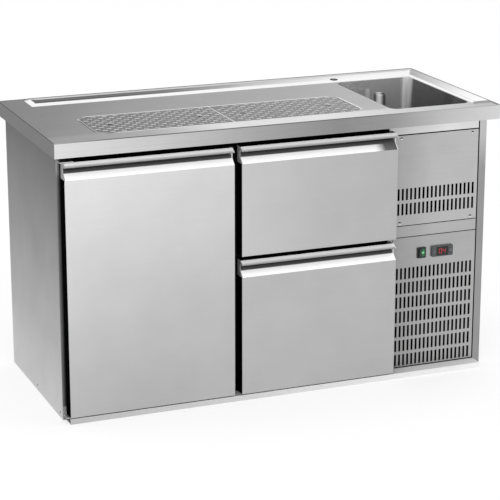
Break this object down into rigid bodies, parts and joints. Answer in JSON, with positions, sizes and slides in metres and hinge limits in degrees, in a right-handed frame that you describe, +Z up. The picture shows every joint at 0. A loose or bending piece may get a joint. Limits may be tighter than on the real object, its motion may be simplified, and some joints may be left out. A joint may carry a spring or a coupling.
{
  "type": "beer dispensing counter",
  "caption": "Refrigerated beer dispensing counter with a hinged door, bottle drawers, a perforated drip station, a rinse sink with standpipe and a vented machine compartment.",
  "frame": {"origin": "on the floor under the middle of the worktop", "axes": "+X to the right of a user who faces the front, -Y out of the front, +Z up"},
  "size_m": [1.5, 0.65, 0.904],
  "materials": {
    "worktop_steel": "brushed stainless sheet",
    "board": "raw board",
    "pan_steel": "brushed stainless sheet",
    "grate_steel": "brushed stainless sheet",
    "sink_steel": "satin pressed stainless",
    "waste_steel": "polished",
    "pipe_steel": "satin tube",
    "side_steel": "brushed stainless sheet",
    "back_steel": "plain sheet",
    "base_steel": "brushed stainless sheet",
    "liner_steel": "bright stainless sheet",
    "mullion_dark": "matt black",
    "rail_steel": "plain folded steel",
    "bracket_steel": "plain folded steel",
    "pin_steel": "turned",
    "front_steel": "satin stainless sheet",
    "inner_dark": "matt moulded",
    "handle_steel": "satin stainless",
    "seal_rubber": "soft",
    "box_steel": "plain stainless sheet",
    "panel_steel": "brushed stainless sheet",
    "screw_steel": "pan head",
    "dark_plastic": "matt",
    "rocker_green": "clear tinted",
    "case_grey": "matt moulded",
    "window_dark": "glossy",
    "key_grey": "matt moulded",
    "fin_aluminium": "bare fins",
    "shroud_black": "matt black",
    "fan_black": "matt moulded",
    "compressor_black": "satin black",
    "copper_line": "bare copper tube",
    "shelf_wire": "grey coating",
    "foam": "rigid foam"
  },
  "bodies": {
    "counter": {"worktop": "worktop_steel", "worktop_core": "board", "drip_pan": "pan_steel", "sink_bowl": "sink_steel", "sink_waste": "waste_steel", "side_panel_left": "side_steel", "side_panel_right": "side_steel", "back_panel": "back_steel", "base_pan": "base_steel", "cable_gland": "dark_plastic", "floor_insulation": "foam", "ceiling_insulation": "foam", "left_insulation": "foam", "partition_insulation": "foam", "rear_insulation": "foam", "chamber_liner": "liner_steel", "front_mullion": "mullion_dark", "rail_uprights": "rail_steel", "fixed_rails": "rail_steel", "hinge_brackets": "bracket_steel", "hinge_pins": "pin_steel", "machine_frame": "panel_steel", "service_panel": "panel_steel", "panel_strip": "panel_steel", "grille_panel": "panel_steel", "panel_screws": "screw_steel", "switch_housing": "dark_plastic", "thermostat_case": "case_grey", "thermostat_window": "window_dark", "condenser": "fin_aluminium", "fan_housing": "shroud_black", "compressor": "compressor_black", "pipework": "copper_line", "evaporator": "fin_aluminium", "wire_shelf": "shelf_wire", "shelf_rails": "rail_steel"},
    "door": {"door_front": "front_steel", "door_inner": "inner_dark", "door_handle": "handle_steel", "door_gasket": "seal_rubber"},
    "upper_drawer": {"upper_drawer_front": "front_steel", "upper_drawer_inner": "inner_dark", "upper_drawer_handle": "handle_steel", "upper_drawer_gasket": "seal_rubber", "upper_drawer_box": "box_steel"},
    "upper_rails": {"upper_middle_rails": "rail_steel"},
    "lower_drawer": {"lower_drawer_front": "front_steel", "lower_drawer_inner": "inner_dark", "lower_drawer_handle": "handle_steel", "lower_drawer_gasket": "seal_rubber", "lower_drawer_box": "box_steel"},
    "lower_rails": {"lower_middle_rails": "rail_steel"},
    "left_grate": {"drip_grate_left": "grate_steel"},
    "right_grate": {"drip_grate_right": "grate_steel"},
    "standpipe": {"overflow_pipe": "pipe_steel"},
    "rocker": {"switch_rocker": "rocker_green"},
    "left_key": {"thermostat_key_left": "key_grey"},
    "right_key": {"thermostat_key_right": "key_grey"},
    "hot_fan": {"condenser_fan": "fan_black"},
    "cold_fan": {"evaporator_fan": "fan_black"}
  },
  "joints": [
    {"name": "door_hinge", "type": "hinge", "parent": "counter", "child": "door", "pos_m": [-0.704, -0.3, 0.43], "axis": [0, 0, -1], "range_deg": [0, 105]},
    {"name": "upper_drawer_slide", "type": "slide", "parent": "counter", "child": "upper_drawer", "axis": [0, -1, 0], "range_m": [0, 0.44]},
    {"name": "upper_rails_slide", "type": "slide", "parent": "counter", "child": "upper_rails", "axis": [0, -1, 0], "range_m": [0, 0.22]},
    {"name": "lower_drawer_slide", "type": "slide", "parent": "counter", "child": "lower_drawer", "axis": [0, -1, 0], "range_m": [0, 0.44]},
    {"name": "lower_rails_slide", "type": "slide", "parent": "counter", "child": "lower_rails", "axis": [0, -1, 0], "range_m": [0, 0.22]},
    {"name": "left_grate_lift", "type": "slide", "parent": "counter", "child": "left_grate", "axis": [0, 0, 1], "range_m": [0, 0.06]},
    {"name": "right_grate_lift", "type": "slide", "parent": "counter", "child": "right_grate", "axis": [0, 0, 1], "range_m": [0, 0.06]},
    {"name": "standpipe_lift", "type": "slide", "parent": "counter", "child": "standpipe", "axis": [0, 0, 1], "range_m": [0, 0.19]},
    {"name": "rocker_tilt", "type": "hinge", "parent": "counter", "child": "rocker", "pos_m": [0.504, -0.273, 0.4115], "axis": [0, 0, 1], "range_deg": [-16, 0]},
    {"name": "left_key_press", "type": "slide", "parent": "counter", "child": "left_key", "axis": [0, 1, 0], "range_m": [0, 0.0006], "stiffness_N_per_m": 500},
    {"name": "right_key_press", "type": "slide", "parent": "counter", "child": "right_key", "axis": [0, 1, 0], "range_m": [0, 0.0006], "stiffness_N_per_m": 500},
    {"name": "hot_fan_spin", "type": "hinge", "parent": "counter", "child": "hot_fan", "pos_m": [0.55175, -0.1948, 0.195], "axis": [0, 1, 0], "continuous": true},
    {"name": "cold_fan_spin", "type": "hinge", "parent": "counter", "child": "cold_fan", "pos_m": [-0.22575, 0, 0.645], "axis": [1, 0, 0], "continuous": true}
  ],
  "couplings": [
    {"joint": "upper_rails_slide", "follows": "upper_drawer_slide", "ratio": 0.5},
    {"joint": "lower_rails_slide", "follows": "lower_drawer_slide", "ratio": 0.5}
  ]
}
